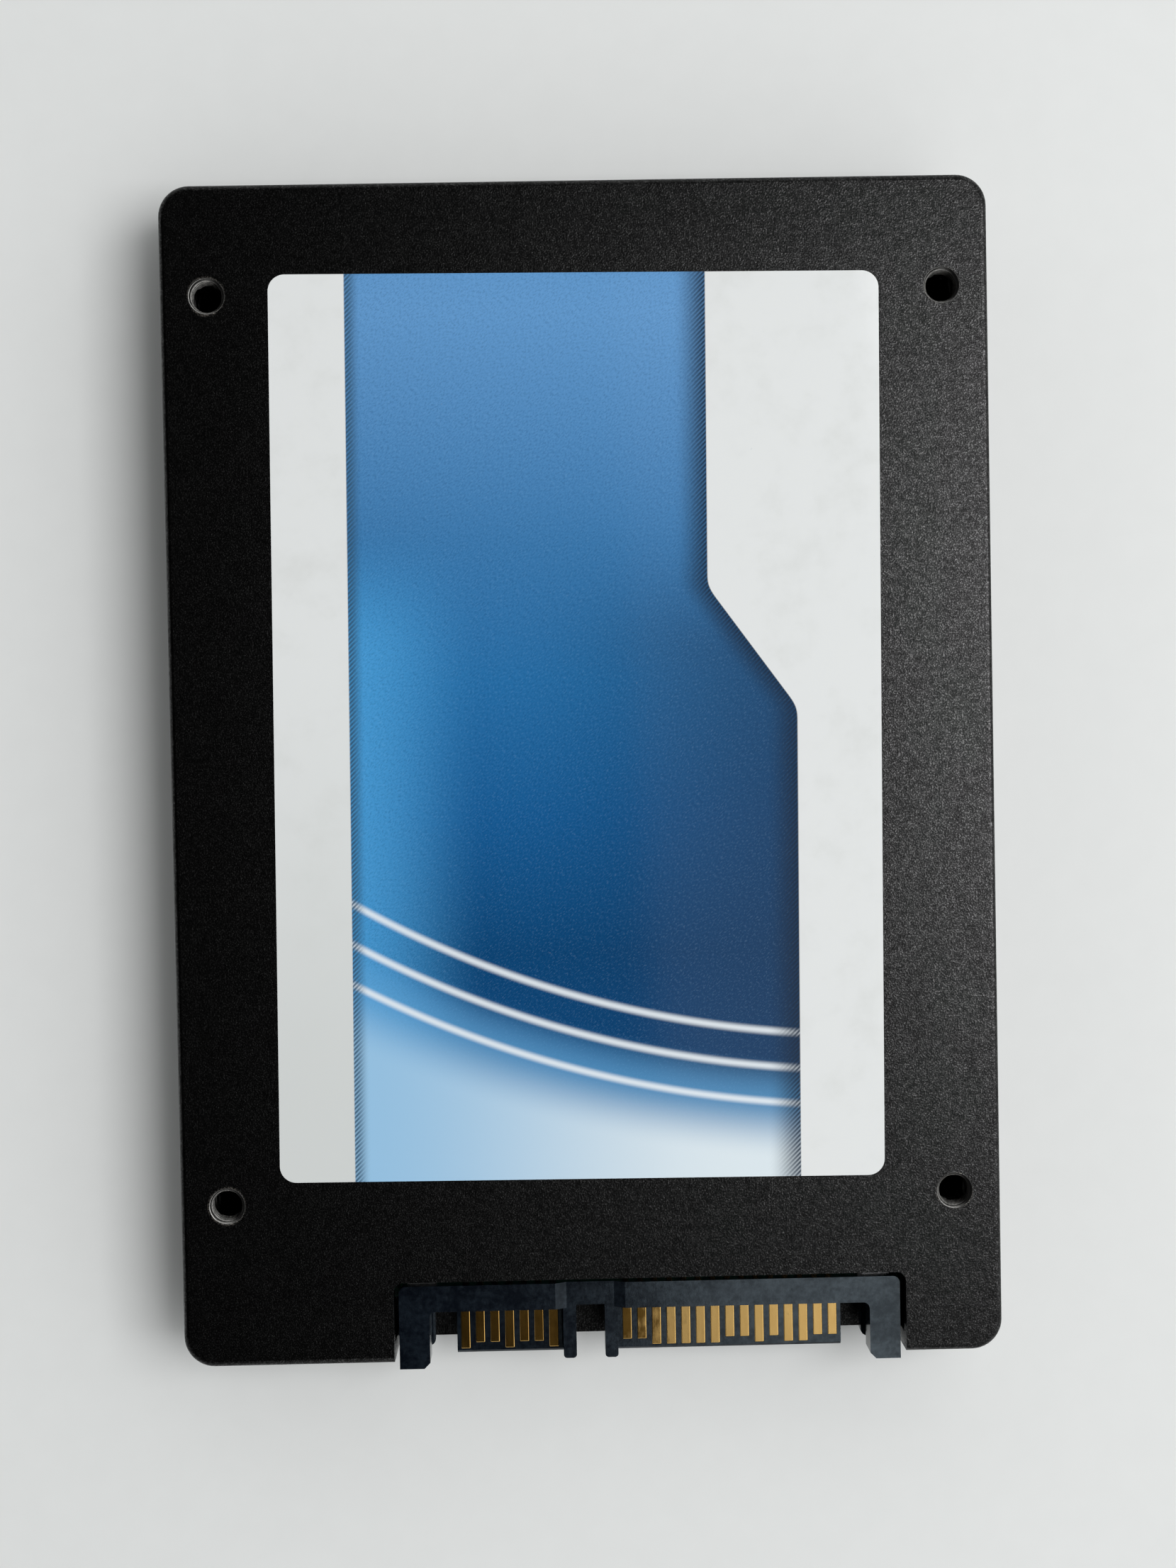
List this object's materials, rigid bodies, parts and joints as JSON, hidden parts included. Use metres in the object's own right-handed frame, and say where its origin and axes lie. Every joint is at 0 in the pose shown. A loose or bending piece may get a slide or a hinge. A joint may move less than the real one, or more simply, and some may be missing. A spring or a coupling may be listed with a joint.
{
  "type": "solid state drive",
  "caption": "Flat rectangular solid state drive with a black metal case, a printed label, threaded mounting holes and an edge plug with bare contacts.",
  "frame": {"origin": "centre of the case's footprint, on the outside of the back cover that it rests on", "axes": "+Z out of the mounting face with the front label, +Y away from the connector, +X to the right when the label faces the viewer and the connector is at the bottom"},
  "size_m": [0.0696, 0.1005, 0.0096],
  "materials": {
    "case_paint": "fine powder coat, nearly matte",
    "cover_paint": "fine powder coat, nearly matte",
    "bare_metal": "cut threads, bare",
    "front_label": "printed film, satin",
    "back_label": "printed paper, matte",
    "dark_steel": "blackened",
    "steel": "tinned",
    "board": "solder mask, satin",
    "connector_plastic": "moulded, glass filled, satin",
    "gold": "gold plated",
    "worn_gold": "gold plated, worn",
    "chip_plastic": "moulded",
    "flash_plastic": "moulded",
    "thermal_pad": "soft silicone",
    "ferrite": "pressed ferrite",
    "fuse_ceramic": "fired",
    "tantalum_case": "moulded",
    "capacitor_ceramic": "fired",
    "resistor_film": "glazed"
  },
  "bodies": {
    "root": {"case_shell": "case_paint", "back_cover": "cover_paint", "front_label": "front_label", "back_label": "back_label", "case_screws": "dark_steel", "circuit_board": "board", "board_screws": "steel", "connector_housing": "connector_plastic", "signal_contacts": "worn_gold", "power_contacts": "gold", "connector_hold_downs": "steel", "controller_chip": "chip_plastic", "controller_thermal_pad": "thermal_pad", "cache_memory_chip": "chip_plastic", "firmware_chip": "chip_plastic", "voltage_regulator_1": "chip_plastic", "voltage_regulator_2": "chip_plastic", "power_inductor_1": "ferrite", "power_inductor_2": "ferrite", "surge_diode": "chip_plastic", "input_fuse": "fuse_ceramic", "clock_crystal": "steel", "bulk_capacitor_1": "tantalum_case", "bulk_capacitor_2": "tantalum_case", "ceramic_capacitors": "capacitor_ceramic", "chip_resistors": "resistor_film", "flash_thermal_pad": "thermal_pad", "flash_chip_front_1": "flash_plastic", "flash_chip_front_2": "flash_plastic", "flash_chip_front_3": "flash_plastic", "flash_chip_front_4": "flash_plastic", "flash_chip_front_5": "flash_plastic", "flash_chip_front_6": "flash_plastic", "flash_chip_front_7": "flash_plastic", "flash_chip_front_8": "flash_plastic", "flash_chip_back_1": "flash_plastic", "flash_chip_back_2": "flash_plastic", "flash_chip_back_3": "flash_plastic", "flash_chip_back_4": "flash_plastic", "flash_chip_back_5": "flash_plastic", "flash_chip_back_6": "flash_plastic", "flash_chip_back_7": "flash_plastic", "flash_chip_back_8": "flash_plastic"}
  },
  "joints": []
}
